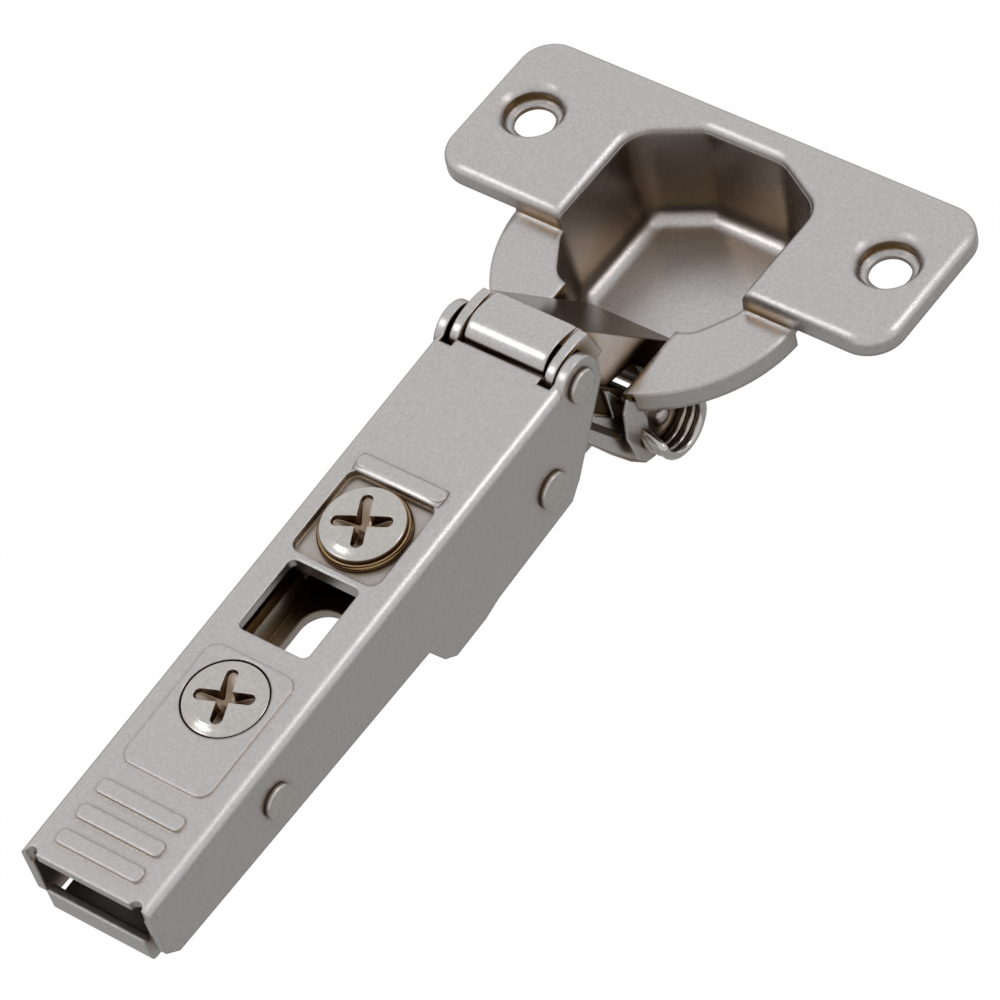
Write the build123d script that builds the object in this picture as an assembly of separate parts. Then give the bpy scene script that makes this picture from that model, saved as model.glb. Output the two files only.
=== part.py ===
"""Concealed cabinet hinge: screw-on cup, two links, clip-on arm with two adjusting screws.

Millimetres, +Z up. The origin is the middle of the cup's 35 mm circle on the door's face, +X points
from the arm to the far side of the cup and +Y lies along the row of the two door screws. The arm and
both links are drawn in the arm's own frame, whose X runs along the arm and whose Z is zero on its top
plate, and ARM_FRAME carries them to the open pose.
"""
from build123d import *
from math import atan2, cos, degrees, radians, sin
import os

# How far a cutting tool runs past the piece that it cuts
PAST = 3.0

# Door flange and cup
FLANGE_HEIGHT = 2.4
FLANGE_SHEET = 1.0
FLANGE_FRONT = -1.0
FLANGE_BACK = 19.4
FLANGE_HALF_WIDTH = 28.5
FLANGE_CORNER = 4.0
FLANGE_EDGE_ROUND = 1.2
SCREW_SPACING = 45.0
SCREW_OFFSET = 9.5
SCREW_HOLE_RADIUS = 2.25
SCREW_DIMPLE_RADIUS = 3.9
SCREW_DIMPLE_DEPTH = 0.7
SCREW_WELL_RADIUS = 3.2
SCREW_WELL_FLOOR = 0.5
SCREW_NECK_RADIUS = 4.2
BOSS_RADIUS = 17.5
WING_TOP = -0.4
WING_SHEET = 0.9
WING_SKIRT = 2.7
WING_OVERLAP = 0.4
BOWL_BACK = 16.1
BOWL_HALF_WIDTH = 11.7
BOWL_CHAMFER_X = 12.4
BOWL_CHAMFER_Y = 5.0
BOWL_SHOULDER = -1.5
BOWL_FRONT = -7.0
BOWL_FRONT_HALF_WIDTH = 8.4
BOWL_DEPTH = 12.9
FLOOR_FRONT = -2.3
BOWL_TAPER = 5.0
BOWL_SHEET = 1.0
BOWL_FLOOR_ROUND = 2.0
BOWL_CORNER = 3.6
MOUTH_ROUND = 1.0
MOUTH_STEPS = 3
CHEEK_SHEET = 0.8
CHEEK_SIDE_GAP = 0.2
CHEEK_REACH = 2.3
CHEEK_BOTTOM = -9.9

# Pivots: the arm's two in the arm's frame, the cup's two from the cup's centre and the flange's top
FRONT_PIVOT = (70.7, -2.2)
SECOND_PIVOT = (63.0, -10.3)
REAR_PIVOT = (18.1, -5.7)
OUTER_CUP_PIVOT_X = -9.3
OUTER_CUP_PIVOT_DEPTH = 9.3
INNER_CUP_PIVOT_X = -12.3
INNER_CUP_PIVOT_DEPTH = 9.5
OUTER_CUP_PIVOT = (OUTER_CUP_PIVOT_X, FLANGE_HEIGHT - OUTER_CUP_PIVOT_DEPTH)
INNER_CUP_PIVOT = (INNER_CUP_PIVOT_X, FLANGE_HEIGHT - INNER_CUP_PIVOT_DEPTH)
CHEEK_FRONT = INNER_CUP_PIVOT[0] - CHEEK_REACH
ARM_TILT = 3.8
FRONT_PIVOT_IN_CUP_X = -22.5
FRONT_PIVOT_RISE = 5.9
FRONT_PIVOT_IN_CUP = (FRONT_PIVOT_IN_CUP_X, FLANGE_HEIGHT + FRONT_PIVOT_RISE)
PIN_CLEARANCE = 0.05
FRONT_PIN_RADIUS = 1.5
FRONT_PIN_HEAD = 1.9
SECOND_PIN_RADIUS = 1.2
SECOND_PIN_HEAD = 2.1
REAR_PIN_RADIUS = 1.3
REAR_PIN_HEAD = 1.9
PIN_HEAD_HEIGHT = 0.6
CUP_PIN_RADIUS = 1.1
OPEN_PIVOT_CLEARANCE = 1.05

# Arm
ARM_WIDTH = 16.0
ARM_SHEET = 1.1
ARM_INSIDE = ARM_WIDTH / 2 - ARM_SHEET
ARM_BEND = 1.5
ARM_REAR = -0.4
ARM_REAR_RELIEF = 0.7
ARM_PLATE_END = 68.5
ARM_REAR_BOTTOM = -8.9
ARM_MIDDLE_X = 41.5
ARM_MIDDLE_BOTTOM = -11.2
ARM_TAB_START = 43.6
ARM_TAB_END = 50.0
ARM_TAB_BOTTOM = -15.7
ARM_FRONT_BOTTOM = -14.9
ARM_FRONT_X = 66.0
EAR_RADIUS = 3.1
EAR_NOTCH = 1.6
EAR_NOTCH_DEPTH = 0.9
WINDOW_REAR = 30.0
WINDOW_FRONT = 39.2
WINDOW_WIDTH = 8.7
POCKET_FRONT = 50.8
POCKET_REAR = 40.0
POCKET_WIDTH = 10.8
POCKET_DEPTH = 0.8
HUMP_HEIGHT = 0.3
HUMP_LENGTH = 1.6
PANEL_REAR = 12.2
PANEL_FRONT = 27.6
PANEL_WIDTH = 10.7
PANEL_HEIGHT = 0.2
RIB_FIRST = 2.5
RIB_PITCH = 3.22
RIB_LENGTH = 1.7
RIB_WIDTH = 10.4
RIB_HEIGHT = 0.3
RIB_COUNT = 3

# Adjusting screws
SIDE_SCREW_X = 45.5
DEPTH_SCREW_X = 22.6
SCREW_HEAD_RADIUS = 4.45
SCREW_FACE_RADIUS = 3.4
SCREW_HEAD_SLOPE = 0.3
BUSH_FLANGE_RADIUS = 4.9
BUSH_FLANGE = 0.6
BUSH_RADIUS = 3.9
SIDE_SCREW_TOP = 1.0
SIDE_SCREW_HEAD = 0.9
SIDE_SHANK_RADIUS = 3.1
SIDE_GROOVE_RADIUS = 1.9
SIDE_FOOT_RADIUS = 2.75
SIDE_FOOT = 0.45
SEAT_END_GAP = 0.1
THREAD_PITCH = 1.1
THREAD_DEPTH = 0.35
DEPTH_SCREW_TOP = 0.6
DEPTH_SCREW_HEAD = 1.3
DEPTH_SHANK_RADIUS = 2.4
CAM_RADIUS = 3.3
CAM_OFFSET = 1.6
CAM_SIDE_CLEARANCE = 0.2
CROSS_LENGTH = 6.5
CROSS_WIDTH = 1.35
CROSS_DEPTH = 1.8
SIDE_CROSS_TURN = 25
DEPTH_CROSS_TURN = 20
SCREW_HOLE_CLEARANCE = 0.15

# Sliding seat inside the arm
SEAT_TOP = -8.0
SEAT_SHEET = 1.1
SEAT_REAR = 15.6
SEAT_FRONT = 54.0
SEAT_SIDE_GAP = 0.3
SEAT_HALF_WIDTH = ARM_INSIDE - SEAT_SIDE_GAP
SEAT_WALL_TOP = -5.2
SEAT_WALL_FRONT = 40.5
SEAT_SLOT_REAR = 29.0
SEAT_SLOT_FRONT = 39.6
SEAT_SLOT_WIDTH = 8.0
SEAT_TRAVEL = 1.6
SEAT_POCKET = 0.6

# Clip lever and its spring
LEVER_REAR = -0.9
LEVER_FRONT = 11.6
LEVER_SIDE_GAP = 0.8
LEVER_HALF_WIDTH = ARM_INSIDE - LEVER_SIDE_GAP
LEVER_SHEET = 1.0
LEVER_BOTTOM = -9.4
LEVER_LIP_TOP = -6.0
LEVER_EYE_RADIUS = 2.0
LEVER_WALL_START = 5.0
LEVER_WALL_RISE = 0.6
CLIP_WIRE = 0.6
CLIP_COIL_RADIUS = 1.75
CLIP_TURNS = 3
CLIP_SIDE_GAP = 0.4
CLIP_COIL_START = LEVER_HALF_WIDTH - LEVER_SHEET - CLIP_SIDE_GAP
CLIP_LEG = 3.6
LEG_DRAW = 0.96
CLIP_LEG_LEAN = -20

# Links: widths from the arm's inside, then corners of the side views as steps in x and z
# from the arm's pivot and from the cup's pivot
OUTER_SIDE_GAP = 1.2
OUTER_HALF_WIDTH = ARM_INSIDE - OUTER_SIDE_GAP
OUTER_SHEET = 1.1
OUTER_EYE_RADIUS = 2.45
OUTER_EYE_SIDE_GAP = 0.4
OUTER_EYE_FACE = ARM_INSIDE - OUTER_EYE_SIDE_GAP
OUTER_CUP_EYE = 1.8
OUTER_BACK_AT_ARM = ((-1.1, 2.4), (0.8, 2.9), (4.4, 2.4))
OUTER_END_AT_CUP = ((4.4, 2.0), (3.4, -0.6), (1.0, -1.45), (-0.9, 1.45), (-1.6, 5.0))
OUTER_UNDERSIDE_AT_ARM = ((9.1, -8.9), (4.5, -7.6), (-1.0, -2.2))
OUTER_HOLLOW_AT_ARM = ((-8.0, 1.3), (0.9, 1.8), (3.8, 1.4))
OUTER_HOLLOW_AT_CUP = ((3.3, 1.6), (2.5, -9.0))
OUTER_SHOULDER_AT_ARM = ((0.0, 2.6), (4.3, 2.3), (5.4, -1.6), (1.2, -2.6))
INNER_SIDE_GAP = 0.15
INNER_HALF_WIDTH = ARM_INSIDE - INNER_SIDE_GAP
INNER_SHEET = 0.9
INNER_ARM_EYE = 3.4
INNER_CUP_EYE = 1.75
INNER_OUTSIDE_AT_ARM = ((0.0, -INNER_ARM_EYE), (5.2, -2.6), (7.8, -3.0), (9.8, -7.0), (12.1, -11.0))
INNER_END_AT_CUP = ((-2.9, -5.5), (-1.3, -6.2), (0.4, -5.4), (1.1, -3.6), (1.2, -1.3),
                    (-1.6, 0.7), (-4.5, 2.0))
INNER_INSIDE_AT_ARM = ((10.9, -1.6), (8.4, 2.0), (0.0, INNER_ARM_EYE))
INNER_WEB_OUTSIDE = ((7.0, -2.9), (7.8, -3.0), (9.8, -7.0), (12.1, -11.0))
INNER_WEB_END = ((-2.9, -5.5), (-2.3, -4.9))
INNER_WEB_INSIDE = ((12.9, -10.5), (10.6, -6.5), (8.6, -2.7))
CHEEK_GAP = INNER_HALF_WIDTH + CHEEK_SIDE_GAP

# Closing spring, and the sides of the polygon that stands for round wire in both coils
WIRE_SIDES = 10
SPRING_WIRE = 1.05
SPRING_RADIUS = 3.4
SPRING_TURNS = 2
SPRING_GAP = 0.08
SPRING_SEAT_GAP = 0.15
SPRING_PIN_HEAD = 2.0


def swing(point, centre, tilt):
    """The point turned about +Y by tilt degrees round the centre, as (x, z)."""
    dx = point[0] - centre[0]
    dz = point[1] - centre[1]
    angle = radians(tilt)
    return (centre[0] + dx * cos(angle) + dz * sin(angle), centre[1] - dx * sin(angle) + dz * cos(angle))


def steps_from(pivot, steps):
    """Corners given as steps in x and z from a pivot, as places."""
    return [(pivot[0] + dx, pivot[1] + dz) for dx, dz in steps]


def to_arm(point):
    """A place in the cup's frame, given in the arm's frame."""
    turned = swing(point, FRONT_PIVOT_IN_CUP, ARM_TILT)
    return (turned[0] - FRONT_PIVOT_IN_CUP[0] + FRONT_PIVOT[0],
            turned[1] - FRONT_PIVOT_IN_CUP[1] + FRONT_PIVOT[1])


ARM_FRAME = (Pos(FRONT_PIVOT_IN_CUP[0], 0, FRONT_PIVOT_IN_CUP[1]) * Rot(0, -ARM_TILT, 0)
             * Pos(-FRONT_PIVOT[0], 0, -FRONT_PIVOT[1]))
OUTER_CUP_PIVOT_IN_ARM = to_arm(OUTER_CUP_PIVOT)
INNER_CUP_PIVOT_IN_ARM = to_arm(INNER_CUP_PIVOT)


def side_plate(points, y_low, y_high, corner=0.0):
    """A plate with this outline in X and Z, between two values of Y."""
    face = Polygon(*points, align=None)
    if corner:
        face = fillet(face.vertices(), corner)
    return Pos(0, y_high, 0) * extrude(Plane.XZ * face, amount=y_high - y_low, dir=(0, -1, 0))


def cross_rod(centre, radius, y_low, y_high):
    """A round rod along Y."""
    return Pos(centre[0], (y_low + y_high) / 2, centre[1]) * Rot(90, 0, 0) * Cylinder(radius, y_high - y_low)


def upright(radius, x, y, z_low, z_high):
    """A round rod along Z."""
    return Pos(x, y, (z_low + z_high) / 2) * Cylinder(radius, z_high - z_low)


def block(x_low, x_high, y_low, y_high, z_low, z_high):
    """A box between two corners."""
    return (Pos((x_low + x_high) / 2, (y_low + y_high) / 2, (z_low + z_high) / 2)
            * Box(x_high - x_low, y_high - y_low, z_high - z_low))


def one_solid(shape):
    """The largest solid of a shape, as a plain solid."""
    return max(shape.solids(), key=lambda solid: solid.volume)


def bowl_outline(grow):
    """The bowl's outline in plan, made larger by grow all round."""
    points = [(BOWL_FRONT, -BOWL_FRONT_HALF_WIDTH), (BOWL_SHOULDER, -BOWL_HALF_WIDTH),
              (BOWL_CHAMFER_X, -BOWL_HALF_WIDTH), (BOWL_BACK, -BOWL_CHAMFER_Y),
              (BOWL_BACK, BOWL_CHAMFER_Y), (BOWL_CHAMFER_X, BOWL_HALF_WIDTH),
              (BOWL_SHOULDER, BOWL_HALF_WIDTH), (BOWL_FRONT, BOWL_FRONT_HALF_WIDTH)]
    face = Polygon(*points, align=None)
    face = fillet(face.vertices(), BOWL_CORNER)
    if grow:
        face = offset(face, amount=grow)
    return face


def bowl_block(grow, top, floor, floor_round):
    """The bowl as a solid, tapering from its mouth to a floor with a rounded edge."""
    block_shape = extrude(Pos(0, 0, top) * bowl_outline(grow), amount=-(top - floor), taper=BOWL_TAPER)
    floor_edges = block_shape.faces().sort_by(Axis.Z)[0].edges()
    return fillet(floor_edges, floor_round)


def mouth_roll():
    """What the rolled mouth leaves free: slanted bands that follow a quarter round, top to wall."""
    rolled = None
    for index in range(MOUTH_STEPS):
        start = radians(90 * index / MOUTH_STEPS)
        end = radians(90 * (index + 1) / MOUTH_STEPS)
        depth = MOUTH_ROUND * (cos(start) - cos(end))
        drift = MOUTH_ROUND * (sin(end) - sin(start))
        top = FLANGE_HEIGHT - MOUTH_ROUND * (1 - cos(start))
        outline = bowl_outline(MOUTH_ROUND * (1 - sin(start)))
        band = extrude(Pos(0, 0, top) * outline, amount=-depth, taper=degrees(atan2(drift, depth)))
        rolled = band if rolled is None else rolled + band
    return rolled


def flange_plate():
    """The door flange: a flat plate with its edges turned down to the door."""
    length = FLANGE_BACK - FLANGE_FRONT
    middle = (FLANGE_BACK + FLANGE_FRONT) / 2
    outer = Pos(middle, 0, 0) * RectangleRounded(length, 2 * FLANGE_HALF_WIDTH, FLANGE_CORNER)
    inner = Pos(middle, 0, 0) * RectangleRounded(length - 2 * FLANGE_SHEET,
                                                 2 * (FLANGE_HALF_WIDTH - FLANGE_SHEET),
                                                 FLANGE_CORNER - FLANGE_SHEET)
    plate = extrude(outer, amount=FLANGE_HEIGHT)
    plate = fillet(plate.faces().sort_by(Axis.Z)[-1].edges(), FLANGE_EDGE_ROUND)
    return plate - extrude(inner, amount=FLANGE_HEIGHT - FLANGE_SHEET)


def wing_plates():
    """The two crescent wings beside the bowl, with their outer edges turned down."""
    disc = upright(BOSS_RADIUS, 0, 0, WING_TOP - WING_SHEET, WING_TOP)
    ring = (upright(BOSS_RADIUS, 0, 0, WING_TOP - WING_SKIRT, WING_TOP)
            - upright(BOSS_RADIUS - WING_SHEET, 0, 0, WING_TOP - WING_SKIRT, WING_TOP))
    wings = disc + ring
    wings -= block(FLANGE_FRONT + WING_OVERLAP, BOSS_RADIUS + 1, -BOSS_RADIUS - 1, BOSS_RADIUS + 1,
                   WING_TOP - WING_SKIRT - 1, WING_TOP + 1)
    wings -= block(-BOSS_RADIUS - 1, 0, -CHEEK_GAP, CHEEK_GAP, WING_TOP - WING_SKIRT - 1, WING_TOP + 1)
    return wings


def step_walls():
    """The short walls that drop from the flange's front edge to the wings."""
    reach = (BOSS_RADIUS ** 2 - FLANGE_FRONT ** 2) ** 0.5
    walls = block(FLANGE_FRONT, FLANGE_FRONT + FLANGE_SHEET, -reach, reach,
                  WING_TOP - WING_SHEET, FLANGE_HEIGHT - FLANGE_SHEET)
    return walls


def cup_cheeks():
    """The two flat cheeks that carry the cup's pivot pins."""
    outline = [(CHEEK_FRONT, WING_TOP), (CHEEK_FRONT, CHEEK_BOTTOM + 2),
               (CHEEK_FRONT + 2, CHEEK_BOTTOM), (BOWL_FRONT, CHEEK_BOTTOM), (BOWL_FRONT, WING_TOP)]
    cheeks = None
    for low, high in ((-CHEEK_GAP - CHEEK_SHEET, -CHEEK_GAP), (CHEEK_GAP, CHEEK_GAP + CHEEK_SHEET)):
        cheek = side_plate(outline, low, high)
        cheeks = cheek if cheeks is None else cheeks + cheek
    return cheeks


def screw_neck(y):
    """The drawn neck round one door screw, down to the door's face."""
    return upright(SCREW_NECK_RADIUS, SCREW_OFFSET, y, 0, FLANGE_HEIGHT - FLANGE_SHEET)


def screw_bore(y):
    """The drawn well of one door screw: a sloping shoulder, a round wall and the hole in its floor."""
    shoulder = (Pos(SCREW_OFFSET, y, FLANGE_HEIGHT - SCREW_DIMPLE_DEPTH / 2)
                * Cone(SCREW_WELL_RADIUS, SCREW_DIMPLE_RADIUS, SCREW_DIMPLE_DEPTH))
    well = upright(SCREW_WELL_RADIUS, SCREW_OFFSET, y, SCREW_WELL_FLOOR, FLANGE_HEIGHT)
    return shoulder + well + upright(SCREW_HOLE_RADIUS, SCREW_OFFSET, y, -PAST, FLANGE_HEIGHT + PAST)


def wire_coil(radius, wire, pitch, length):
    """A coil of wire that starts at the origin's side and runs toward -Y."""
    path = Helix(pitch=pitch, height=length, radius=radius)
    section = Plane(origin=path @ 0, z_dir=path % 0) * RegularPolygon(wire / 2, WIRE_SIDES)
    return Rot(90, 0, 0) * sweep(section, path=path, is_frenet=True)


def cup_shell():
    """Flange, wings, bowl and pin cheeks: the cup is one drawn piece."""
    floor_inside = FLANGE_HEIGHT - BOWL_DEPTH
    outside = bowl_block(BOWL_SHEET, FLANGE_HEIGHT - FLANGE_SHEET, floor_inside - BOWL_SHEET,
                         BOWL_FLOOR_ROUND + BOWL_SHEET)
    inside = bowl_block(0, FLANGE_HEIGHT, floor_inside, BOWL_FLOOR_ROUND)
    inside += mouth_roll()
    above_wings = block(BOWL_FRONT - PAST, FLANGE_FRONT, -BOSS_RADIUS, BOSS_RADIUS, WING_TOP, FLANGE_HEIGHT)
    link_gap = block(BOWL_FRONT - PAST, FLOOR_FRONT, -CHEEK_GAP, CHEEK_GAP,
                     floor_inside - BOWL_SHEET - PAST, FLANGE_HEIGHT)
    shell = flange_plate() + step_walls() + (outside - above_wings) + wing_plates()
    for side in (-1, 1):
        shell += screw_neck(side * SCREW_SPACING / 2)
    shell -= inside
    shell += cup_cheeks()
    shell -= link_gap
    for side in (-1, 1):
        shell -= screw_bore(side * SCREW_SPACING / 2)
    for pivot in (OUTER_CUP_PIVOT, INNER_CUP_PIVOT):
        shell -= cross_rod(pivot, CUP_PIN_RADIUS, -CHEEK_GAP - PAST, CHEEK_GAP + PAST)
    return one_solid(shell)


def outer_link_cup_pin():
    """The plain pin of the outer link, flush with the cup's cheeks at both ends."""
    face = CHEEK_GAP + CHEEK_SHEET
    return cross_rod(OUTER_CUP_PIVOT, CUP_PIN_RADIUS, -face, face)


def inner_link_cup_pin():
    """The inner link's pin: flush on the far side, and long enough here to carry the spring."""
    face = CHEEK_GAP + CHEEK_SHEET
    spring_end = -face - SPRING_SEAT_GAP - SPRING_TURNS * (SPRING_WIRE + SPRING_GAP) - SPRING_WIRE
    pin = cross_rod(INNER_CUP_PIVOT, CUP_PIN_RADIUS, spring_end, face)
    head = cross_rod(INNER_CUP_PIVOT, SPRING_PIN_HEAD, spring_end, -face - SPRING_SEAT_GAP)
    rim = head.faces().sort_by(Axis.Y)[0].edges()
    return pin + fillet(rim, SPRING_PIN_HEAD / 2)


def riveted_pin(pivot, radius, head_radius):
    """A pin through both walls of the arm, riveted over outside them."""
    wall = ARM_WIDTH / 2
    pin = cross_rod(pivot, radius, -wall, wall)
    for side in (-1, 1):
        middle = side * (wall + PIN_HEAD_HEIGHT / 2)
        head = cross_rod(pivot, head_radius, middle - PIN_HEAD_HEIGHT / 2, middle + PIN_HEAD_HEIGHT / 2)
        rim = head.faces().sort_by(Axis.Y)[0 if side < 0 else -1].edges()
        pin += chamfer(rim, PIN_HEAD_HEIGHT * 0.4)
    return ARM_FRAME * pin


def closing_spring():
    """The torsion spring round the inner link's pin, outside the cup's near cheek."""
    pitch = SPRING_WIRE + SPRING_GAP
    length = SPRING_TURNS * pitch
    start = -(CHEEK_GAP + CHEEK_SHEET + SPRING_SEAT_GAP + SPRING_WIRE / 2)
    x, z = INNER_CUP_PIVOT
    coil = Pos(x, start, z) * wire_coil(SPRING_RADIUS, SPRING_WIRE, pitch, length)
    leg_x = x + SPRING_RADIUS
    leg_radius = SPRING_WIRE / 2 * LEG_DRAW
    upper_leg = upright(leg_radius, leg_x, start, z, WING_TOP - WING_SHEET)
    lower_leg = upright(leg_radius, leg_x, start - length, z - SPRING_RADIUS * 0.9, z)
    return coil + upper_leg + lower_leg


def arm_side_outline():
    """The arm's side view below the top plate, from the rear end round to the front ear."""
    ear_x, ear_z = FRONT_PIVOT
    return [(ARM_REAR, 0), (ARM_REAR, ARM_REAR_BOTTOM + 1.6), (ARM_REAR + 1.6, ARM_REAR_BOTTOM),
            (ARM_MIDDLE_X, ARM_MIDDLE_BOTTOM), (ARM_TAB_START - 0.6, ARM_TAB_BOTTOM + 1.4),
            (ARM_TAB_START + 1, ARM_TAB_BOTTOM), (ARM_TAB_END - 0.4, ARM_TAB_BOTTOM),
            (ARM_TAB_END + 2, ARM_FRONT_BOTTOM - 0.3), (ARM_FRONT_X - 1, ARM_FRONT_BOTTOM),
            (ARM_FRONT_X + 0.8, ARM_FRONT_BOTTOM + 1.6), (ear_x + EAR_RADIUS * 0.95, ear_z - 2.2),
            (ear_x + EAR_RADIUS * 0.95, ear_z), (ear_x, 0)]


def arm_channel_blank():
    """The bare folded channel: a U section cut to the side view, with its two round front ears."""
    half = ARM_WIDTH / 2
    inner = half - ARM_SHEET
    deep = ARM_TAB_BOTTOM - 1
    section = Pos(0, deep / 2) * Rectangle(ARM_WIDTH, -deep)
    bar = extrude(Plane.YZ * section, amount=FRONT_PIVOT[0] + EAR_RADIUS + 2)
    bar = Pos(ARM_REAR, 0, 0) * bar
    top_edges = bar.edges().filter_by(Axis.X).sort_by(Axis.Z)[-2:]
    bar = fillet(top_edges, ARM_BEND)
    bore = block(ARM_REAR - 1, FRONT_PIVOT[0] + EAR_RADIUS + 3, -inner, inner, deep - 1, -ARM_SHEET)
    channel = (bar - bore) & side_plate(arm_side_outline(), -half, half)
    front_gap = block(ARM_PLATE_END, FRONT_PIVOT[0] + EAR_RADIUS + 3, -inner, inner, deep - 1, 1)
    channel -= front_gap
    for side in (-1, 1):
        channel -= upright(ARM_REAR_RELIEF, ARM_REAR, side * (half - ARM_BEND), -ARM_SHEET - 1, 1)
    plate_clear = ARM_PLATE_END - EAR_NOTCH_DEPTH
    for side in (-1, 1):
        low, high = sorted((side * inner, side * half))
        channel -= block(ARM_PLATE_END, FRONT_PIVOT[0] + EAR_RADIUS + 3, low, high, FRONT_PIVOT[1], 1)
        ear = cross_rod(FRONT_PIVOT, EAR_RADIUS, low, high)
        channel += ear & block(plate_clear, FRONT_PIVOT[0] + EAR_RADIUS + 1, low, high, deep, 2)
        notch_low, notch_high = sorted((side * (inner - EAR_NOTCH), side * inner))
        channel -= block(plate_clear, ARM_PLATE_END + 1, notch_low, notch_high, -2, 1)
    return channel


def arm_top_features(channel):
    """Pocket, hump, screw panel, grip bars, window and screw holes of the arm's top plate."""
    pocket_middle = (POCKET_FRONT + POCKET_REAR) / 2
    pocket_length = POCKET_FRONT - POCKET_REAR
    under = extrude(Pos(pocket_middle, 0, -ARM_SHEET - POCKET_DEPTH)
                    * RectangleRounded(pocket_length + 1.6, POCKET_WIDTH + 1.6, 2.0), amount=POCKET_DEPTH)
    channel += under
    pocket = extrude(Pos(pocket_middle, 0, 0) * RectangleRounded(pocket_length, POCKET_WIDTH, 1.2),
                     amount=-POCKET_DEPTH)
    channel -= pocket
    hump = extrude(Pos(POCKET_FRONT + 0.3 + HUMP_LENGTH / 2, 0, 0)
                   * RectangleRounded(HUMP_LENGTH, POCKET_WIDTH, 0.7), amount=HUMP_HEIGHT)
    channel += hump
    panel_middle = (PANEL_FRONT + PANEL_REAR) / 2
    channel += extrude(Pos(panel_middle, 0, 0)
                       * RectangleRounded(PANEL_FRONT - PANEL_REAR, PANEL_WIDTH, 1.5), amount=PANEL_HEIGHT)
    for index in range(RIB_COUNT):
        x = RIB_FIRST + index * RIB_PITCH
        channel += extrude(Pos(x, 0, 0) * RectangleRounded(RIB_LENGTH, RIB_WIDTH, 0.6), amount=RIB_HEIGHT)
    window_middle = (WINDOW_FRONT + WINDOW_REAR) / 2
    channel -= extrude(Pos(window_middle, 0, 1) * RectangleRounded(WINDOW_FRONT - WINDOW_REAR,
                                                                  WINDOW_WIDTH, 0.8), amount=-4)
    channel -= upright(BUSH_RADIUS, SIDE_SCREW_X, 0, -ARM_SHEET - POCKET_DEPTH - PAST, PAST)
    channel -= upright(SCREW_HEAD_RADIUS + SCREW_HOLE_CLEARANCE, DEPTH_SCREW_X, 0,
                       DEPTH_SCREW_TOP - DEPTH_SCREW_HEAD, 2)
    channel -= upright(DEPTH_SHANK_RADIUS + SCREW_HOLE_CLEARANCE, DEPTH_SCREW_X, 0, -3, 2)
    return channel


def arm_channel():
    """The arm: one folded sheet with ears, pocket, window, panel, grip bars and pin holes."""
    channel = arm_top_features(arm_channel_blank())
    wall = ARM_WIDTH / 2
    for pivot, radius in ((FRONT_PIVOT, FRONT_PIN_RADIUS), (SECOND_PIVOT, SECOND_PIN_RADIUS),
                          (REAR_PIVOT, REAR_PIN_RADIUS)):
        channel -= cross_rod(pivot, radius, -wall - 1, wall + 1)
    return ARM_FRAME * one_solid(channel)


def cross_recess(x, top, turn):
    """The cross-shaped driver recess of a screw whose top face is at this height."""
    arms = Box(CROSS_LENGTH, CROSS_WIDTH, CROSS_DEPTH) + Box(CROSS_WIDTH, CROSS_LENGTH, CROSS_DEPTH)
    tip = Pos(0, 0, -CROSS_DEPTH / 2 - 0.3) * Cone(0.3, CROSS_WIDTH, 1.0)
    return Pos(x, 0, top - CROSS_DEPTH / 2) * Rot(0, 0, turn) * (arms + tip)


def screw_head(x, bottom, top):
    """A screw's flat round head, sloping from its driven face down to the rim."""
    slope = Cone(SCREW_HEAD_RADIUS, SCREW_FACE_RADIUS, SCREW_HEAD_SLOPE)
    return (upright(SCREW_HEAD_RADIUS, x, 0, bottom, top - SCREW_HEAD_SLOPE)
            + Pos(x, 0, top - SCREW_HEAD_SLOPE / 2) * slope)


def side_screw():
    """The front screw, which shifts the door sideways: stepped head, threaded shank, foot in the seat."""
    x = SIDE_SCREW_X
    pocket_floor = -POCKET_DEPTH
    head_bottom = SIDE_SCREW_TOP - SIDE_SCREW_HEAD
    screw = screw_head(x, head_bottom, SIDE_SCREW_TOP)
    screw += upright(SIDE_SHANK_RADIUS, x, 0, pocket_floor, head_bottom)
    core = SIDE_SHANK_RADIUS - THREAD_DEPTH
    groove_top = SEAT_TOP + SEAT_END_GAP
    foot_top = SEAT_TOP - SEAT_SHEET + SEAT_POCKET - SEAT_END_GAP
    screw += upright(core, x, 0, groove_top, pocket_floor)
    screw += upright(SIDE_GROOVE_RADIUS, x, 0, foot_top - SIDE_FOOT, groove_top)
    screw += upright(SIDE_FOOT_RADIUS, x, 0, foot_top - SIDE_FOOT, foot_top)
    ridges = int((pocket_floor - groove_top) / THREAD_PITCH)
    for index in range(ridges):
        z = pocket_floor - (index + 0.5) * THREAD_PITCH
        screw += Pos(x, 0, z) * Cone(SIDE_SHANK_RADIUS, core, THREAD_PITCH / 2)
    screw -= cross_recess(x, SIDE_SCREW_TOP, SIDE_CROSS_TURN)
    return ARM_FRAME * one_solid(screw)


def side_screw_bush():
    """The flanged bush pressed into the pocket, in which the front screw turns."""
    flange_top = BUSH_FLANGE - POCKET_DEPTH
    bottom = -ARM_SHEET - POCKET_DEPTH - 0.6
    bush = upright(BUSH_FLANGE_RADIUS, SIDE_SCREW_X, 0, -POCKET_DEPTH, flange_top)
    bush = chamfer(bush.faces().sort_by(Axis.Z)[-1].edges(), BUSH_FLANGE * 0.4)
    bush += upright(BUSH_RADIUS, SIDE_SCREW_X, 0, bottom, flange_top)
    bush -= upright(SIDE_SHANK_RADIUS + SCREW_HOLE_CLEARANCE, SIDE_SCREW_X, 0, bottom - 1, flange_top + 1)
    return ARM_FRAME * bush


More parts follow.
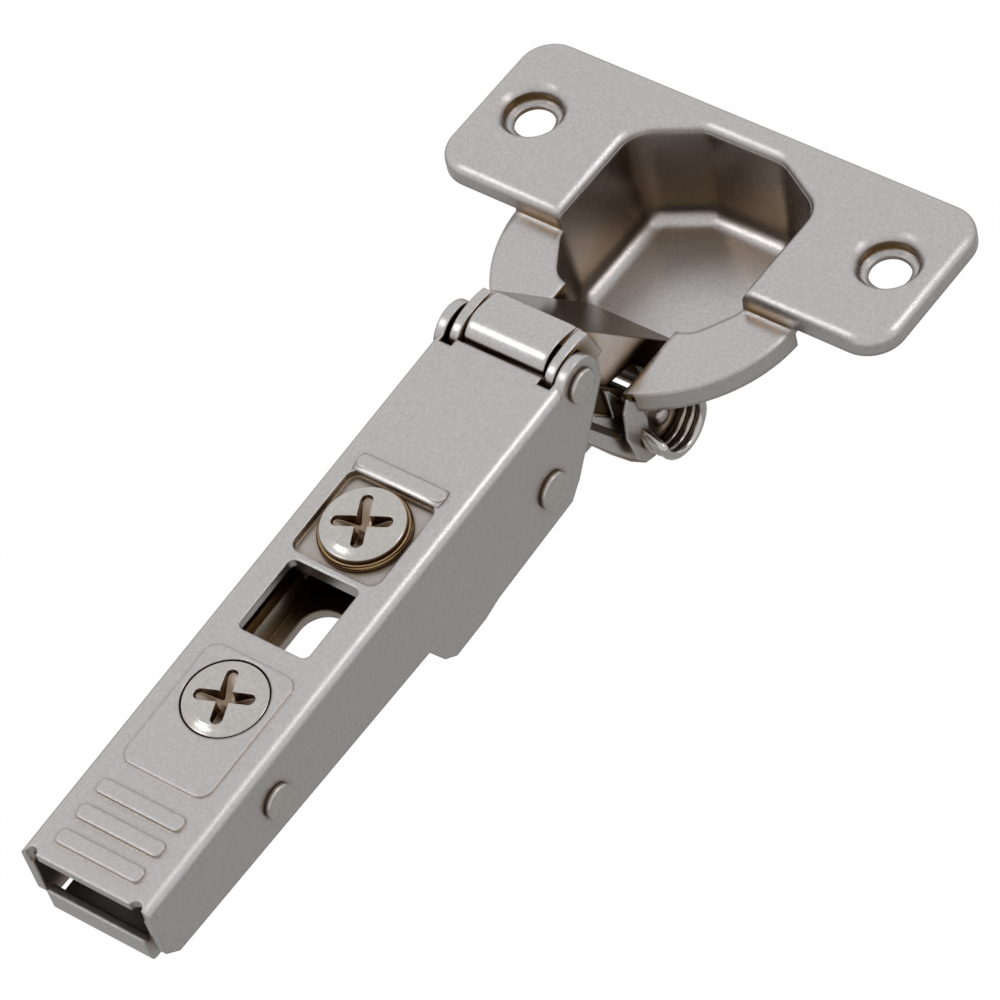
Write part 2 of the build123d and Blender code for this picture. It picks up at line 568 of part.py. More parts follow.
def depth_screw():
    """The rear screw: a flat head over an off-centre cam that moves the seat along the arm."""
    x = DEPTH_SCREW_X
    screw = screw_head(x, DEPTH_SCREW_TOP - DEPTH_SCREW_HEAD, DEPTH_SCREW_TOP)
    screw += upright(DEPTH_SHANK_RADIUS, x, 0, SEAT_TOP + 0.1, 0)
    screw += upright(CAM_RADIUS, x, -CAM_OFFSET, SEAT_TOP - SEAT_SHEET, SEAT_TOP + 0.6)
    screw -= cross_recess(x, DEPTH_SCREW_TOP, DEPTH_CROSS_TURN)
    return ARM_FRAME * one_solid(screw)


def sliding_seat():
    """The inner channel that seats on the mounting plate and slides under the rear screw's cam."""
    bottom = SEAT_TOP - SEAT_SHEET
    seat = block(SEAT_REAR, SEAT_FRONT, -SEAT_HALF_WIDTH, SEAT_HALF_WIDTH, bottom, SEAT_TOP)
    for side in (-1, 1):
        low, high = sorted((side * (SEAT_HALF_WIDTH - SEAT_SHEET), side * SEAT_HALF_WIDTH))
        wall_rear = REAR_PIVOT[0] + LEVER_EYE_RADIUS + SEAT_TRAVEL + 0.4
        seat += block(wall_rear, SEAT_WALL_FRONT, low, high, bottom, SEAT_WALL_TOP)
    slot_length = SEAT_SLOT_FRONT - SEAT_SLOT_REAR
    slot_middle = (SEAT_SLOT_FRONT + SEAT_SLOT_REAR) / 2
    seat -= extrude(Pos(slot_middle, 0, SEAT_TOP + 1) * RectangleRounded(slot_length, SEAT_SLOT_WIDTH, 3.0),
                    amount=-4)
    for radius, top in ((SIDE_GROOVE_RADIUS, SEAT_TOP + 1), (SIDE_FOOT_RADIUS, bottom + SEAT_POCKET)):
        half_width = radius + SCREW_HOLE_CLEARANCE
        seat -= extrude(Pos(SIDE_SCREW_X, 0, top)
                        * SlotOverall(2 * (half_width + SEAT_TRAVEL), 2 * half_width), amount=-4)
    cam_slot = 2 * (CAM_RADIUS + CAM_OFFSET + CAM_SIDE_CLEARANCE)
    cam_slot_width = 2 * (CAM_RADIUS + CAM_SIDE_CLEARANCE)
    seat -= extrude(Pos(DEPTH_SCREW_X, 0, SEAT_TOP + 1) * Rot(0, 0, 90)
                    * SlotOverall(cam_slot, cam_slot_width), amount=-4)
    return ARM_FRAME * one_solid(seat)


def clip_lever():
    """The release lever under the rear end, turning on the rear pin."""
    x_pin, z_pin = REAR_PIVOT
    floor_top = LEVER_BOTTOM + LEVER_SHEET
    lever = block(LEVER_REAR, LEVER_FRONT, -LEVER_HALF_WIDTH, LEVER_HALF_WIDTH, LEVER_BOTTOM, floor_top)
    lip = block(LEVER_REAR, LEVER_REAR + LEVER_SHEET, -LEVER_HALF_WIDTH, LEVER_HALF_WIDTH,
                LEVER_BOTTOM, LEVER_LIP_TOP)
    lever += lip
    outline = [(LEVER_REAR + LEVER_SHEET, LEVER_BOTTOM), (LEVER_FRONT, LEVER_BOTTOM),
               (LEVER_FRONT + 1.8, z_pin - LEVER_EYE_RADIUS), (x_pin, z_pin - LEVER_EYE_RADIUS),
               (x_pin, z_pin + LEVER_EYE_RADIUS), (x_pin - 3, z_pin + LEVER_EYE_RADIUS - 0.4),
               (LEVER_REAR + LEVER_WALL_START, floor_top + LEVER_WALL_RISE)]
    for side in (-1, 1):
        low, high = sorted((side * (LEVER_HALF_WIDTH - LEVER_SHEET), side * LEVER_HALF_WIDTH))
        lever += side_plate(outline, low, high)
        lever += cross_rod(REAR_PIVOT, LEVER_EYE_RADIUS, low, high)
    lever -= cross_rod(REAR_PIVOT, REAR_PIN_RADIUS + PIN_CLEARANCE,
                       -LEVER_HALF_WIDTH - 1, LEVER_HALF_WIDTH + 1)
    low_edges = lever.edges().filter_by(Axis.Y).group_by(Axis.X)[0]
    lever = fillet(low_edges.sort_by(Axis.Z)[0:1], LEVER_SHEET * 0.7)
    return ARM_FRAME * one_solid(lever)


def clip_spring():
    """The small torsion spring that holds the clip lever down, coiled round the rear pin."""
    pitch = CLIP_WIRE + 0.06
    length = CLIP_TURNS * pitch
    x, z = REAR_PIVOT
    coil = (Pos(x, CLIP_COIL_START, z) * Rot(0, -90, 0)
            * wire_coil(CLIP_COIL_RADIUS, CLIP_WIRE, pitch, length))
    top = z + CLIP_COIL_RADIUS
    reach = Pos(x, CLIP_COIL_START, top) * Rot(0, CLIP_LEG_LEAN, 0)
    leg_radius = CLIP_WIRE / 2 * LEG_DRAW
    front_leg = reach * Pos(CLIP_LEG / 2, 0, 0) * Rot(0, 90, 0) * Cylinder(leg_radius, CLIP_LEG)
    rear_leg = (Pos(x - CLIP_LEG / 2, CLIP_COIL_START - length, top) * Rot(0, 90, 0)
                * Cylinder(leg_radius, CLIP_LEG))
    return ARM_FRAME * (coil + front_leg + rear_leg)


def outer_link_outline():
    """The outer link's side view: along the web to the cup, then back under to the arm's pin."""
    return (steps_from(FRONT_PIVOT, OUTER_BACK_AT_ARM)
            + steps_from(OUTER_CUP_PIVOT_IN_ARM, OUTER_END_AT_CUP)
            + steps_from(FRONT_PIVOT, OUTER_UNDERSIDE_AT_ARM))


def outer_link():
    """The outer link: a folded channel whose web shows between the arm and the cup."""
    arm_x, arm_z = FRONT_PIVOT
    inner = OUTER_HALF_WIDTH - OUTER_SHEET
    link = side_plate(outer_link_outline(), -OUTER_HALF_WIDTH, OUTER_HALF_WIDTH)
    hollow = (steps_from(FRONT_PIVOT, OUTER_HOLLOW_AT_ARM)
              + steps_from(OUTER_CUP_PIVOT_IN_ARM, OUTER_HOLLOW_AT_CUP))
    hollow.append((hollow[0][0], hollow[-1][1]))
    link -= side_plate(hollow, -inner, inner)
    shoulder = steps_from(FRONT_PIVOT, OUTER_SHOULDER_AT_ARM)
    for side in (-1, 1):
        low, high = sorted((side * inner, side * OUTER_EYE_FACE))
        link += cross_rod(FRONT_PIVOT, OUTER_EYE_RADIUS, low, high)
        low, high = sorted((side * (OUTER_HALF_WIDTH - 0.4), side * OUTER_EYE_FACE))
        link += side_plate(shoulder, low, high)
        low, high = sorted((side * inner, side * OUTER_HALF_WIDTH))
        link += cross_rod(OUTER_CUP_PIVOT_IN_ARM, OUTER_CUP_EYE, low, high)
        low, high = sorted((side * (inner - 0.1), side * (OUTER_HALF_WIDTH - 0.4)))
        link -= block(arm_x - 4, arm_x + 1.7, low, high, arm_z - 4, arm_z + 4)
    reach = ARM_WIDTH / 2
    link -= cross_rod(FRONT_PIVOT, FRONT_PIN_RADIUS + PIN_CLEARANCE, -reach, reach)
    link -= cross_rod(OUTER_CUP_PIVOT_IN_ARM, CUP_PIN_RADIUS + PIN_CLEARANCE, -reach, reach)
    return ARM_FRAME * one_solid(link)


def inner_link_outline():
    """The inner link's side view: from the arm's second pin down and round to the cup's pin."""
    return (steps_from(SECOND_PIVOT, INNER_OUTSIDE_AT_ARM)
            + steps_from(INNER_CUP_PIVOT_IN_ARM, INNER_END_AT_CUP)
            + steps_from(SECOND_PIVOT, INNER_INSIDE_AT_ARM))


def inner_link():
    """The inner link: a curved channel that dips below the cup's pin and comes up to it."""
    inner = INNER_HALF_WIDTH - INNER_SHEET
    web = (steps_from(SECOND_PIVOT, INNER_WEB_OUTSIDE)
           + steps_from(INNER_CUP_PIVOT_IN_ARM, INNER_WEB_END)
           + steps_from(SECOND_PIVOT, INNER_WEB_INSIDE))
    link = side_plate(web, -inner - 0.2, inner + 0.2)
    for side in (-1, 1):
        low, high = sorted((side * inner, side * INNER_HALF_WIDTH))
        link += side_plate(inner_link_outline(), low, high)
        link += cross_rod(SECOND_PIVOT, INNER_ARM_EYE, low, high)
        link += cross_rod(INNER_CUP_PIVOT_IN_ARM, INNER_CUP_EYE, low, high)
    reach = ARM_WIDTH / 2
    link -= cross_rod(SECOND_PIVOT, SECOND_PIN_RADIUS + OPEN_PIVOT_CLEARANCE, -reach, reach)
    link -= cross_rod(INNER_CUP_PIVOT_IN_ARM, CUP_PIN_RADIUS + PIN_CLEARANCE, -reach, reach)
    return ARM_FRAME * one_solid(link)


def build_nodes():
    """Every node's name and its solid."""
    return {
        "cup_shell": cup_shell(),
        "outer_link_cup_pin": outer_link_cup_pin(),
        "inner_link_cup_pin": inner_link_cup_pin(),
        "closing_spring": closing_spring(),
        "outer_link": outer_link(),
        "inner_link": inner_link(),
        "arm_channel": arm_channel(),
        "front_pin": riveted_pin(FRONT_PIVOT, FRONT_PIN_RADIUS, FRONT_PIN_HEAD),
        "second_pin": riveted_pin(SECOND_PIVOT, SECOND_PIN_RADIUS, SECOND_PIN_HEAD),
        "rear_pin": riveted_pin(REAR_PIVOT, REAR_PIN_RADIUS, REAR_PIN_HEAD),
        "side_screw_bush": side_screw_bush(),
        "side_adjusting_screw": side_screw(),
        "depth_adjusting_screw": depth_screw(),
        "sliding_seat": sliding_seat(),
        "clip_lever": clip_lever(),
        "clip_spring": clip_spring(),
    }


os.makedirs("parts", exist_ok=True)
for node_name, solid in build_nodes().items():
    export_step(solid, f"parts/{node_name}.step")
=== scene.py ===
"""Looks of the concealed cabinet hinge, in metres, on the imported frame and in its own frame."""
import math

import bpy
import numpy as np
from mathutils import Matrix, Vector


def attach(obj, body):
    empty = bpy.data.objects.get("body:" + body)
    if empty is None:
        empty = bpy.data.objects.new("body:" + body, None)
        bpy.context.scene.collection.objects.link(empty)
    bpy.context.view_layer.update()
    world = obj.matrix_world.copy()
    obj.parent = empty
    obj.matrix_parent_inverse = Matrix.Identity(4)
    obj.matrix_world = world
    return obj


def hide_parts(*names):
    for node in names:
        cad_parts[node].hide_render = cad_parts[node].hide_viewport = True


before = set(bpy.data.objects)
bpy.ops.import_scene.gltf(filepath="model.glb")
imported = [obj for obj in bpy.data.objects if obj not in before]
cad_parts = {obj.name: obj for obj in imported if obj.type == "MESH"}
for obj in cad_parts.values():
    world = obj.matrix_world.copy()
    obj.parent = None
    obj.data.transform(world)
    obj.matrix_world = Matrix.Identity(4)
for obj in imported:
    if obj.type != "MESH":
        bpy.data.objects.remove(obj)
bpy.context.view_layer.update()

MM = 0.001

# Camera: long lens, from above the arm's rear end
CAMERA_PLACE = (-0.28653, -0.28152, 0.43725)
VIEW_RIGHT = (0.58329, -0.79503, -0.16643)
VIEW_DOWN = (-0.68333, -0.36952, -0.62970)
VIEW_FORWARD = (0.43914, 0.48102, -0.75880)
FOCAL_LENGTH = 208.74
SENSOR = 36.0

# Stage, metres: a lamp is its name, its place from LAMP_TARGET, its width and its power in watts
LAMP_TARGET = (-0.04, 0, 0)
LAMPS = [
    ("over_left", (-0.38, 0.42, 0.66), 0.26, 0.62),
    ("over_right", (0.36, -0.52, 0.56), 0.26, 0.68),
]
FLOOR_HEIGHT, FLOOR_HALF = -0.060, 3.0
FLOOR_WHITE, FLOOR_GLOW = 0.94, 1.02
LOW_CARD_HEIGHT, LOW_CARD_HALF = -0.055, 0.30
LOW_CARD_TONE = (0.52, 0.515, 0.50)

# Places, mm, and the arm's tilt in degrees. In the arm's frame X runs along the arm and Z is zero
# on its top plate; the two places in the cup are in the row frame
ARM_TILT = 3.8
FRONT_PIVOT = (70.7, -2.2)
FRONT_PIVOT_IN_CUP = (-22.5, 8.3)
SECOND_PIVOT = (63.0, -10.3)
REAR_PIVOT = (18.1, -5.7)
INNER_CUP_PIVOT = (-12.3, -7.1)
ARM_HALF_WIDTH = 8.0
PIN_HEAD_FACE = 8.6

# Screws, mm; a profile is (radius, height) down from the arm's top plate
SIDE_SCREW_X, SIDE_SCREW_TOP, SIDE_CROSS_TURN = 45.5, 1.0, 25
DEPTH_SCREW_X, DEPTH_SCREW_TOP, DEPTH_CROSS_TURN = 22.6, 0.6, 20
SCREW_HEAD_RADIUS = 4.45
SCREW_FACE_RADIUS = 3.35
HEAD_SLOPE = 0.42
CROSS_LENGTH, CROSS_WIDTH, CROSS_MIDDLE, CROSS_WALL = 6.4, 1.3, 1.35, 0.10
CROSS_END_DEPTH, CROSS_FALL, CROSS_FALL_POWER = 0.55, 1.6, 1.3
DIAGONAL = 1.414
THREAD_PITCH, THREAD_CORE, THREAD_CREST = 1.1, 2.75, 3.1
THREAD_TOP, THREAD_END = -0.8, -7.0
SIDE_SCREW_FOOT = [(2.75, -7.6), (2.75, -7.9), (1.9, -7.9), (1.9, -8.6), (2.75, -8.6),
                   (2.75, -9.05), (0.0, -9.05)]
DEPTH_SCREW_SHANK = [(SCREW_HEAD_RADIUS, -0.69), (2.4, -0.7), (2.4, -7.4), (0.0, -7.4)]
CAM_PROFILE = [(0.0, -7.4), (3.25, -7.4), (3.3, -7.45), (3.3, -9.05), (3.25, -9.1), (0.0, -9.1)]
CAM_OFFSET = -1.6
BUSH_BORE = [(3.25, -2.5), (3.25, 0.0)]
BUSH_FLANK = [(4.74, -0.3), (4.86, -0.32), (4.88, -0.78), (3.9, -0.8), (3.9, -2.5)]
BUSH_EDGE, BUSH_EDGE_RADIUS = (4.62, -0.12), 0.12

# Closing spring and its pin, mm: steps (x, y, z) from the cup's inner pin; a profile is (radius, y)
SPRING_RADIUS, SPRING_WIRE = 3.4, 1.05
SPRING_LOOPS = (-8.55, -9.55, -10.55)
COIL_ARC = (183, 352)
LEG_IN_CHEEK = (-SPRING_RADIUS + 0.35, -7.5, 0.75)
LEG_UNDER_WING = (SPRING_RADIUS - 0.1, 5.7)
WIRE_LEAN = (0.35, 0.9, 0.25)
PIN_DOME_SIZE, PIN_DOME_BASE = (1.15, 0.6), (0.0, -8.0)
PIN_SHAFT = [(1.15, -7.9), (1.75, -7.85), (1.75, -7.72), (1.1, -7.7), (1.1, 7.7), (1.0, 7.75),
             (0.0, 7.75)]
WASHER_PROFILE = [(1.2, -8.0), (4.0, -8.0), (4.05, -7.95), (4.05, -7.8), (4.0, -7.76),
                  (1.2, -7.76)]

# Outer link, mm: steps (x, z) from the front pivot in the arm's frame
TONGUE_PATH = [(-1.7, 1.0), (-1.68, 1.75), (-1.3, 2.4), (-0.4, 3.1), (0.7, 3.4), (1.9, 3.3),
               (3.2, 2.95), (4.5, 2.5)]
TONGUE_HALF_WIDTH, TONGUE_SHEET = 4.95, 0.55
EYE_PATH = [(-2.6, -1.4), (-2.85, -0.2), (-2.6, 1.2), (-1.7, 2.35), (-0.4, 2.95), (1.2, 3.05),
            (2.9, 2.95), (4.3, 2.5)]
EYE_STRIP, EYE_SHEET, EYE_SQUARE = (5.35, 6.5), 0.5, 5.0

# Plates at the near side, mm: outline of steps (x, z) from the cup's inner pin, and two Y faces
LINK_SIDE = [(-8.3, 7.9), (-5.7, 4.9), (-6.0, 9.2), (-5.4, 8.7), (-3.8, 5.4), (-3.4, 4.6),
             (-4.0, 1.8), (-1.7, 0.6), (-0.9, -0.3), (-1.2, -3.1), (-1.4, -5.4), (-2.3, -5.6),
             (-4.7, -2.6), (-7.1, 1.0), (-10.2, 5.9)]
LINK_SIDE_FACES = (-6.86, -6.35)
LINK_GROOVE = [(-9.1, 8.0), (-4.9, 1.6), (-5.6, 1.3), (-9.4, 7.1)]
LINK_GROOVE_FACES, LINK_GROOVE_BEVEL = (-6.90, -6.60), 0.02
FOLD_INSIDE = [(-8.5, 9.6), (-5.8, 9.6), (-3.0, 6.0), (-4.2, 1.8), (-2.6, -2.8), (-8.2, 5.7)]
FOLD_INSIDE_FACES = (-6.25, -5.95)
CHEEK_FACE = [(-4.4, 7.0), (-2.7, 4.8), (-2.1, 1.6), (-2.4, -1.1), (-2.6, -3.4),
              (-3.5, -3.6), (-4.6, -2.3), (-5.6, 1.9), (-5.3, 5.6)]
CHEEK_FACE_FACES = (-8.10, -7.76)

# Ridge before the front screw's pocket, mm
RIDGE_X, RIDGE_HALF_WIDTH, RIDGE_HALF_LENGTH, RIDGE_HEIGHT = 51.75, 1.15, 5.5, 0.42
RIDGE_KEEL, RIDGE_SINK = 0.2, 0.02

# Finishes, linear colours
NICKEL = (0.46, 0.445, 0.44)
SCREW_STEEL = (0.47, 0.445, 0.425)
WIRE_STEEL = (0.48, 0.46, 0.44)
# Painted shade: the brown that recesses turn to, by how closed the AO node finds them
RECESS_SHADE_BROWN = (0.150, 0.080, 0.022)
OPEN_SHARE = 0.93
SHARP_EDGE_DEGREES = 34


def node_group(name, inputs, outputs):
    """A shader node group with float inputs (name, default) and typed outputs (name, type)."""
    group = bpy.data.node_groups.new(name, "ShaderNodeTree")
    for label, default in inputs:
        socket = group.interface.new_socket(name=label, in_out="INPUT",
                                            socket_type="NodeSocketFloat")
        socket.default_value = default
    for label, kind in outputs:
        group.interface.new_socket(name=label, in_out="OUTPUT", socket_type=kind)
    entry = group.nodes.new("NodeGroupInput")
    leave = group.nodes.new("NodeGroupOutput")
    return group, entry, leave


def map_range(tree, value, from_low, from_high, to_low=0.0, to_high=1.0):
    """The output of a node that carries a value from one range to another."""
    node = tree.nodes.new("ShaderNodeMapRange")
    for label, number in (("From Min", from_low), ("From Max", from_high),
                          ("To Min", to_low), ("To Max", to_high)):
        node.inputs[label].default_value = number
    tree.links.new(value, node.inputs["Value"])
    return node.outputs["Result"]


def arithmetic(tree, operation, *values):
    """The output of a math node over sockets and plain numbers, in order."""
    node = tree.nodes.new("ShaderNodeMath")
    node.operation = operation
    for socket, value in zip(node.inputs, values):
        if isinstance(value, float):
            socket.default_value = value
        else:
            tree.links.new(value, socket)
    return node.outputs["Value"]


def satin_grain_group():
    """Plated sheet grain from object space: Height is fine pits, Shade adds small blotches to them,
    Gloss is the wide clouds."""
    group, entry, leave = node_group(
        "satin_grain",
        [("Fine Scale", 9000.0), ("Blotch Scale", 2600.0), ("Cloud Scale", 160.0)],
        [("Height", "NodeSocketFloat"), ("Shade", "NodeSocketFloat"), ("Gloss", "NodeSocketFloat")])
    add = group.nodes.new
    link = group.links.new
    place = add("ShaderNodeTexCoord")
    layers = {}
    for label, detail in (("Fine Scale", 2.0), ("Blotch Scale", 3.0), ("Cloud Scale", 4.0)):
        layer = add("ShaderNodeTexNoise")
        layer.inputs["Detail"].default_value = detail
        layer.inputs["Roughness"].default_value = 0.62
        link(place.outputs["Object"], layer.inputs["Vector"])
        link(entry.outputs[label], layer.inputs["Scale"])
        layers[label] = layer.outputs["Fac"]
    link(layers["Fine Scale"], leave.inputs["Height"])
    blend = add("ShaderNodeMix")
    blend.data_type = "FLOAT"
    blend.inputs["Factor"].default_value = 0.55
    link(layers["Fine Scale"], blend.inputs["A"])
    link(layers["Blotch Scale"], blend.inputs["B"])
    link(blend.outputs["Result"], leave.inputs["Shade"])
    link(layers["Cloud Scale"], leave.inputs["Gloss"])
    return group


GRAIN = satin_grain_group()


def metal(name, colour, roughness, spread, bump, fine_scale, cloud_scale, edge=0.32, shade=0.13,
          hollow=0.5, reach=4.0, level_unshaded=0.0, closed=0.3):
    """Plated metal: colour and roughness vary with the grain, edges are rounded over edge mm, and
    hollow (0..1) is how far recesses closer than reach mm are painted in brown shade, in full where
    only the share closed is open. Level faces keep level_unshaded (0..1) of their own colour
    against that painted shade."""
    material = bpy.data.materials.new(name)
    material.use_nodes = True
    tree = material.node_tree
    nodes, links = tree.nodes, tree.links
    shader = nodes["Principled BSDF"]
    shader.inputs["Metallic"].default_value = 1.0
    grain = nodes.new("ShaderNodeGroup")
    grain.node_tree = GRAIN
    grain.inputs["Fine Scale"].default_value = fine_scale
    grain.inputs["Blotch Scale"].default_value = fine_scale * 0.3
    grain.inputs["Cloud Scale"].default_value = cloud_scale
    sheet = nodes.new("ShaderNodeMix")
    sheet.data_type = "RGBA"
    sheet.inputs["A"].default_value = (*[c * (1 - shade) for c in colour], 1)
    sheet.inputs["B"].default_value = (*[min(1.0, c * (1 + shade)) for c in colour], 1)
    links.new(map_range(tree, grain.outputs["Shade"], 0.32, 0.68), sheet.inputs["Factor"])
    # Painted shade: where the AO node finds a recess, the colour is mixed towards brown
    recess = nodes.new("ShaderNodeAmbientOcclusion")
    recess.samples = 8
    recess.inputs["Distance"].default_value = reach * MM
    brown = map_range(tree, recess.outputs["AO"], closed, OPEN_SHARE, hollow, 0.0)
    place = nodes.new("ShaderNodeTexCoord")
    facing = nodes.new("ShaderNodeSeparateXYZ")
    links.new(place.outputs["Normal"], facing.inputs["Vector"])
    level = arithmetic(tree, "ABSOLUTE", facing.outputs["Z"])
    steep = arithmetic(tree, "MULTIPLY_ADD", level, -level_unshaded, 1.0)
    shade_mix = nodes.new("ShaderNodeMix")
    shade_mix.data_type = "RGBA"
    shade_mix.inputs["B"].default_value = (*RECESS_SHADE_BROWN, 1)
    links.new(arithmetic(tree, "MULTIPLY", brown, steep), shade_mix.inputs["Factor"])
    links.new(sheet.outputs["Result"], shade_mix.inputs["A"])
    links.new(shade_mix.outputs["Result"], shader.inputs["Base Color"])
    rough = map_range(tree, grain.outputs["Gloss"], 0.3, 0.7, roughness - spread,
                      roughness + spread)
    links.new(rough, shader.inputs["Roughness"])
    round_edge = nodes.new("ShaderNodeBevel")
    round_edge.samples = 6
    round_edge.inputs["Radius"].default_value = edge * MM
    relief = nodes.new("ShaderNodeBump")
    relief.inputs["Strength"].default_value = bump
    relief.inputs["Distance"].default_value = 0.02 * MM
    links.new(round_edge.outputs["Normal"], relief.inputs["Normal"])
    links.new(grain.outputs["Height"], relief.inputs["Height"])
    links.new(relief.outputs["Normal"], shader.inputs["Normal"])
    return material


# Each: name, colour, roughness and its spread, bump, scales of the grain and of the clouds
PLATED = metal("plated_sheet", NICKEL, 0.30, 0.05, 0.40, 8000.0, 90.0,
               edge=0.45, hollow=0.85, reach=6.0)
CUP_PLATED = metal("cup_sheet", NICKEL, 0.26, 0.05, 0.35, 8000.0, 90.0,
                   edge=1.0, hollow=0.96, reach=20.0, level_unshaded=1.0, closed=0.55)
LINK_PLATED = metal("link_sheet", (0.40, 0.37, 0.345), 0.20, 0.04, 0.20, 6000.0, 120.0,
                    hollow=0.97, reach=13.0, closed=0.65)
SEAT_PLATED = metal("seat_sheet", (0.36, 0.33, 0.30), 0.26, 0.05, 0.35, 8000.0, 90.0,
                    hollow=0.97, reach=9.0)
LINK_SATIN = metal("link_satin", NICKEL, 0.24, 0.05, 0.35, 8000.0, 120.0,
                   hollow=0.85, reach=3.0)
WASHER = metal("spring_washer_sheet", (0.22, 0.19, 0.16), 0.3, 0.05, 0.3, 8000.0, 120.0,
               hollow=0.9, reach=3.0)
PIN_STEEL = metal("pin_ends", SCREW_STEEL, 0.28, 0.05, 0.25, 6000.0, 200.0, hollow=0.8)
SCREW_PLATED = metal("screw_plate", SCREW_STEEL, 0.22, 0.05, 0.22, 6000.0, 200.0,
                     edge=0.15, hollow=0.97)
# A plain brown metal for the ring under the front screw's head
BUSH_BROWN = metal("bush_brown", (0.34, 0.23, 0.13), 0.25, 0.05, 0.2, 6000.0, 200.0,
                    edge=0.1, hollow=0.9)
WIRE = metal("spring_wire", WIRE_STEEL, 0.22, 0.05, 0.20, 6000.0, 200.0, edge=0.1, hollow=0.9)
# A near-black sheet of painted shade, for the fold's inside and the groove where only shadow shows
SHADE_SHEET = metal("shadowed_sheet", (0.05, 0.036, 0.024), 0.45, 0.05, 0.3, 8000.0, 90.0,
                   hollow=0.9)

FINISHES = {
    "cup_shell": CUP_PLATED,
    "outer_link_cup_pin": PIN_STEEL,
    "inner_link_cup_pin": PIN_STEEL,
    "closing_spring": WIRE,
    "outer_link": LINK_PLATED,
    "inner_link": LINK_PLATED,
    "arm_channel": PLATED,
    "front_pin": PIN_STEEL,
    "second_pin": PIN_STEEL,
    "rear_pin": PIN_STEEL,
    "side_screw_bush": SCREW_PLATED,
    "side_adjusting_screw": SCREW_PLATED,
    "depth_adjusting_screw": SCREW_PLATED,
    "sliding_seat": SEAT_PLATED,
    "clip_lever": PLATED,
    "clip_spring": WIRE,
}


def finish_cad_nodes():
    """Gives each CAD node its finish; its loose triangles are welded and split at sharp edges."""
    for name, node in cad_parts.items():
        node.data.materials.clear()
        node.data.materials.append(FINISHES[name])
        node.data.polygons.foreach_set("use_smooth", np.ones(len(node.data.polygons), bool))
        node.data.update()
        weld = node.modifiers.new("weld", "WELD")
        weld.merge_threshold = 0.002 * MM
        split = node.modifiers.new("sharp_edges", "EDGE_SPLIT")
        split.split_angle = math.radians(SHARP_EDGE_DEGREES)


finish_cad_nodes()


def new_object(name, points, faces, finish):
    """A mesh of points in metres and faces, in one finish, linked to the scene."""
    mesh = bpy.data.meshes.new(name)
    mesh.from_pydata(points, [], faces)
    mesh.materials.append(finish)
    mesh.update()
    made = bpy.data.objects.new(name, mesh)
    bpy.context.scene.collection.objects.link(made)
    return made


def piece(name, rings, finish, body, stands_for=(), round_v=True, loop_u=False):
    """A skin through rings of points, (n, m, 3) in mm in the row frame, with quads between them.
    Rings close on themselves when round_v is set, and the last joins the first with loop_u."""
    n, m = rings.shape[:2]
    ids = np.arange(n * m).reshape(n, m)
    if loop_u:
        ids = np.vstack([ids, ids[:1]])
    if round_v:
        ids = np.hstack([ids, ids[:, :1]])
    quads = np.stack([ids[:-1, :-1], ids[:-1, 1:], ids[1:, 1:], ids[1:, :-1]], axis=-1)
    quads = quads.reshape(-1, 4)
    made = new_object(name, (rings.reshape(-1, 3) * MM).tolist(), quads.tolist(), finish)
    made.data.polygons.foreach_set("use_smooth", np.ones(len(quads), bool))
    made.data.update()
    weld = made.modifiers.new("close_seams", "WELD")
    weld.merge_threshold = 0.001 * MM
    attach(made, body)
    if stands_for:
        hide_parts(*stands_for)
    return made


def from_arm(points):
    """Points of the arm's own frame, turned by its tilt and carried to the row frame."""
    angle = math.radians(ARM_TILT)
    x = points[..., 0] - FRONT_PIVOT[0]
    z = points[..., 2] - FRONT_PIVOT[1]
    along = FRONT_PIVOT_IN_CUP[0] + x * math.cos(angle) - z * math.sin(angle)
    up = FRONT_PIVOT_IN_CUP[1] + x * math.sin(angle) + z * math.cos(angle)
    return np.stack([along, points[..., 1], up], axis=-1)


def corner_arc(centre, radius, start, end, steps=6):
    """Points (radius, height) on an arc round a centre, from start to end degrees."""
    angles = np.radians(np.linspace(start, end, steps))
    return np.stack([centre[0] + radius * np.cos(angles), centre[1] + radius * np.sin(angles)],
                    axis=-1)


def turned(profile, steps=96):
    """A profile of (radius, height) turned round Z: x = r cos t, y = r sin t, z = height."""
    angle = np.linspace(0, 2 * math.pi, steps, endpoint=False)
    radius, height = profile[:, :1], profile[:, 1:]
    return np.stack([radius * np.cos(angle), radius * np.sin(angle), height + 0 * angle], axis=-1)


def along_y(rings, x, z):
    """Turned rings laid with their axis along Y, through a place in X and Z."""
    return np.stack([x + rings[..., 1], rings[..., 2], z + rings[..., 0]], axis=-1)


